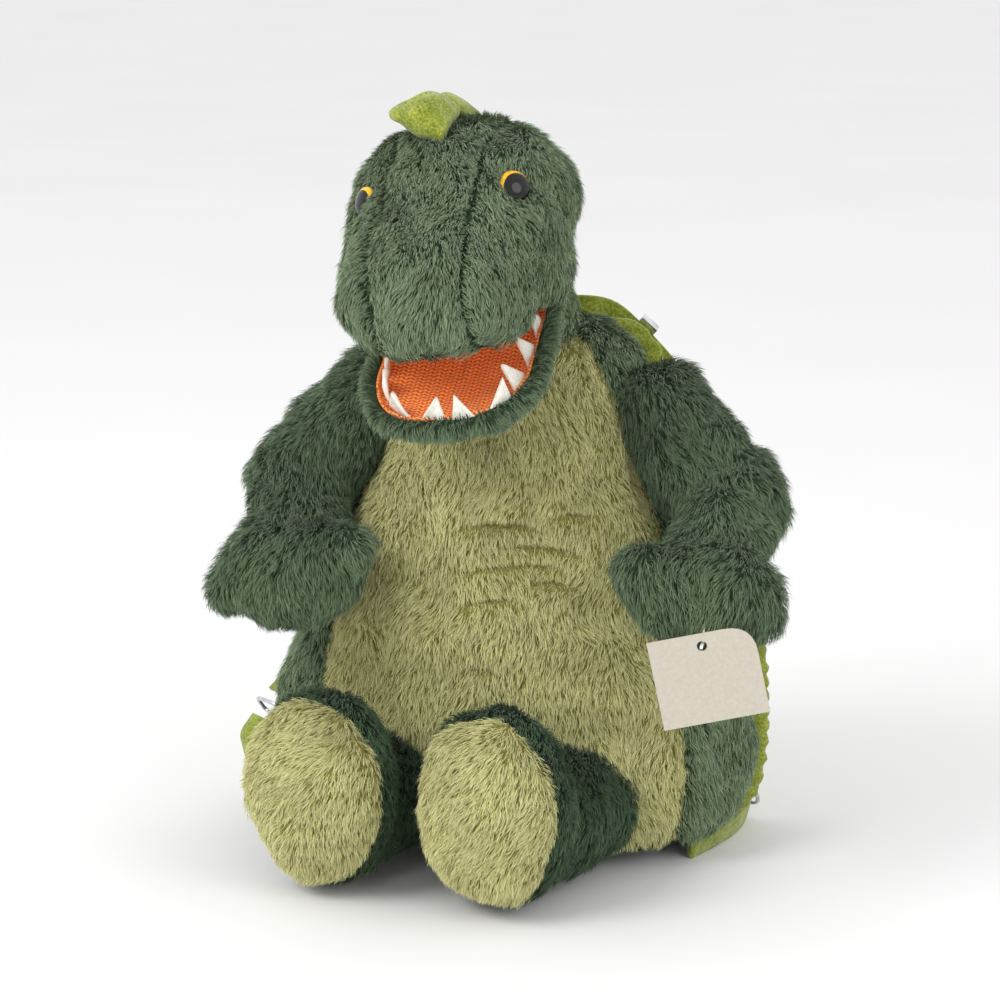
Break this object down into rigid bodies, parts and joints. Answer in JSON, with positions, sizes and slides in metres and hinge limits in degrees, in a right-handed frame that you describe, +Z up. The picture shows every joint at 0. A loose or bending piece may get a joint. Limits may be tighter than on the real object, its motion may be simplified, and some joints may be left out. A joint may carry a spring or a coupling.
{
  "type": "plush dinosaur backpack",
  "caption": "Sitting plush dinosaur worn as a small backpack: furry stuffed body, open toothed mouth, swinging limbs, zipped back pocket, two shoulder straps",
  "frame": {"origin": "centre of the bounding box at floor level", "axes": "+Z up, the dinosaur faces -Y, its own left is +X"},
  "size_m": [0.291, 0.2232, 0.3856],
  "materials": {
    "green_fur": "long soft faux fur, green, matt",
    "dark_green_fur": "long soft faux fur, darker green",
    "olive_fur": "long soft faux fur, olive",
    "lime_velvet": "short pile velvet, lime",
    "orange_knit": "warp knit lining, orange, faint sheen",
    "white_felt": "pressed felt, off white",
    "stuffing": "polyester fibre filling",
    "pocket_cloth": "woven polyester lining",
    "zip_tape": "woven zip tape with nylon coil",
    "polished_metal": "polished plated metal",
    "eye_black": "gloss black dome with a yellow rim",
    "white_plastic": "plain moulded plastic",
    "tag_card": "uncoated card, blank"
  },
  "bodies": {
    "torso": {"belly_panel": "olive_fur", "side_panel_left": "green_fur", "side_panel_right": "green_fur", "neck_yoke_left": "green_fur", "neck_yoke_right": "green_fur", "base_panel": "green_fur", "back_panel_upper": "lime_velvet", "back_panel_lower": "lime_velvet", "torso_stuffing": "stuffing", "pocket_lining": "pocket_cloth", "zip_tape_upper": "zip_tape", "zip_tape_lower": "zip_tape", "strap_left": "lime_velvet", "strap_right": "lime_velvet", "strap_adjuster_left": "polished_metal", "strap_adjuster_right": "polished_metal", "strap_ring_left": "polished_metal", "strap_ring_right": "polished_metal", "strap_tab_left": "lime_velvet", "strap_tab_right": "lime_velvet"},
    "neck": {"neck_stuffing": "stuffing"},
    "head": {"head_gusset": "green_fur", "head_side_left": "green_fur", "head_side_right": "green_fur", "head_stuffing": "stuffing", "palate_lining": "orange_knit", "eye_left": "eye_black", "eye_right": "eye_black", "eye_washer_left": "white_plastic", "eye_washer_right": "white_plastic", "crest_spike_1": "lime_velvet", "crest_spike_2": "lime_velvet", "crest_spike_3": "lime_velvet"},
    "jaw": {"jaw_cover": "green_fur", "jaw_lining": "orange_knit", "tooth_1": "white_felt", "tooth_2": "white_felt", "tooth_3": "white_felt", "tooth_4": "white_felt", "tooth_5": "white_felt", "tooth_6": "white_felt", "tooth_7": "white_felt", "tooth_8": "white_felt", "tooth_9": "white_felt"},
    "arm_left": {"arm_cover_left": "green_fur", "arm_stuffing_left": "stuffing", "tag_thread": "white_plastic"},
    "arm_right": {"arm_cover_right": "green_fur", "arm_stuffing_right": "stuffing"},
    "leg_left": {"leg_cover_left": "dark_green_fur", "foot_sole_left": "olive_fur", "leg_stuffing_left": "stuffing"},
    "leg_right": {"leg_cover_right": "dark_green_fur", "foot_sole_right": "olive_fur", "leg_stuffing_right": "stuffing"},
    "zip_slider": {"zip_slider": "polished_metal"},
    "zip_pull": {"zip_pull": "polished_metal"},
    "tag": {"hang_tag": "tag_card"}
  },
  "joints": [
    {"name": "neck_turn", "type": "hinge", "parent": "torso", "child": "neck", "pos_m": [-0.0135, 0.03192, 0.265], "axis": [0, 0, 1], "range_deg": [-8, 8]},
    {"name": "head_nod", "type": "hinge", "parent": "neck", "child": "head", "pos_m": [-0.0135, 0.03192, 0.265], "axis": [1, 0, 0], "range_deg": [-6, 5]},
    {"name": "jaw_hinge", "type": "hinge", "parent": "head", "child": "jaw", "pos_m": [-0.01817, -0.01189, 0.28184], "axis": [0.9889, -0.0518, 0.1392], "range_deg": [-4, 9]},
    {"name": "shoulder_left", "type": "hinge", "parent": "torso", "child": "arm_left", "pos_m": [0.0645, 0.03192, 0.22592], "axis": [-1, 0, 0], "range_deg": [0, 25]},
    {"name": "shoulder_right", "type": "hinge", "parent": "torso", "child": "arm_right", "pos_m": [-0.0795, 0.03192, 0.22592], "axis": [-1, 0, 0], "range_deg": [0, 25]},
    {"name": "hip_left", "type": "hinge", "parent": "torso", "child": "leg_left", "pos_m": [0.03246, -0.01208, 0.037], "axis": [-0.9511, 0.309, 0], "range_deg": [0, 25]},
    {"name": "hip_right", "type": "hinge", "parent": "torso", "child": "leg_right", "pos_m": [-0.0615, -0.01208, 0.037], "axis": [-0.9563, 0.2924, 0], "range_deg": [0, 25]},
    {"name": "zip_slide", "type": "slide", "parent": "torso", "child": "zip_slider", "axis": [1, 0, 0], "range_m": [0, 0.104]},
    {"name": "zip_pull_swing", "type": "hinge", "parent": "zip_slider", "child": "zip_pull", "pos_m": [-0.0595, 0.08552, 0.18], "axis": [1, 0, 0], "range_deg": [0, 70]},
    {"name": "tag_swing", "type": "hinge", "parent": "arm_left", "child": "tag", "pos_m": [0.10573, -0.06886, 0.13616], "axis": [-0.9848, -0.1736, 0], "range_deg": [0, 30]}
  ]
}
